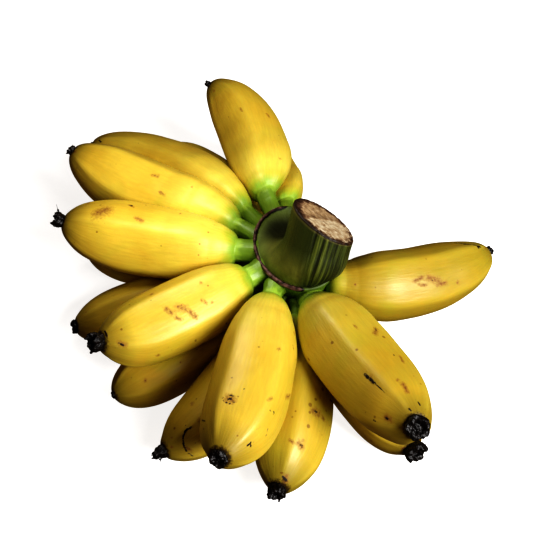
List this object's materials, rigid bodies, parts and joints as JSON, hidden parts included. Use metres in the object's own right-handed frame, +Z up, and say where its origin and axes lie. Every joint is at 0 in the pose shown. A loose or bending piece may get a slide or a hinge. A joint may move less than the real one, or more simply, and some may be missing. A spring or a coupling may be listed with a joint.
{
  "type": "hand of dessert bananas",
  "caption": "Hand of small plump yellow bananas, two rows fanned round a green crown with a short thick sawn stalk, lying on its lower row.",
  "frame": {"origin": "on the surface that the hand lies on, under the middle of its bounding box", "axes": "+Z up out of the surface, with the sawn stalk on top; +Y away from the front bananas; +X towards the side where the hand is open"},
  "size_m": [0.216, 0.2322, 0.0809],
  "materials": {
    "peel": "smooth waxy ripe yellow banana peel, green at the pedicel, with soft ridges and brown freckles",
    "dried_flower": "black crumpled dried flower remnant",
    "green_stalk": "smooth green fibrous stalk with a dried tan saw cut and a brown bract scar"
  },
  "bodies": {
    "root": {"crown": "green_stalk", "banana_back_lower": "peel", "banana_back_upper": "peel", "banana_back_left_lower": "peel", "banana_left_back_lower": "peel", "banana_left_back_upper": "peel", "banana_left_lower": "peel", "banana_left_upper": "peel", "banana_left_front_lower": "peel", "banana_left_front_upper": "peel", "banana_front_left_lower": "peel", "banana_front_low_left": "peel", "banana_front_upper": "peel", "banana_front_lower": "peel", "banana_front_right_upper": "peel", "banana_front_right_lower": "peel", "banana_right_upper": "peel", "blossom_end_back_lower": "dried_flower", "blossom_end_back_upper": "dried_flower", "blossom_end_back_left_lower": "dried_flower", "blossom_end_left_back_lower": "dried_flower", "blossom_end_left_back_upper": "dried_flower", "blossom_end_left_lower": "dried_flower", "blossom_end_left_upper": "dried_flower", "blossom_end_left_front_lower": "dried_flower", "blossom_end_left_front_upper": "dried_flower", "blossom_end_front_left_lower": "dried_flower", "blossom_end_front_low_left": "dried_flower", "blossom_end_front_upper": "dried_flower", "blossom_end_front_lower": "dried_flower", "blossom_end_front_right_upper": "dried_flower", "blossom_end_front_right_lower": "dried_flower", "blossom_end_right_upper": "dried_flower"}
  },
  "joints": []
}
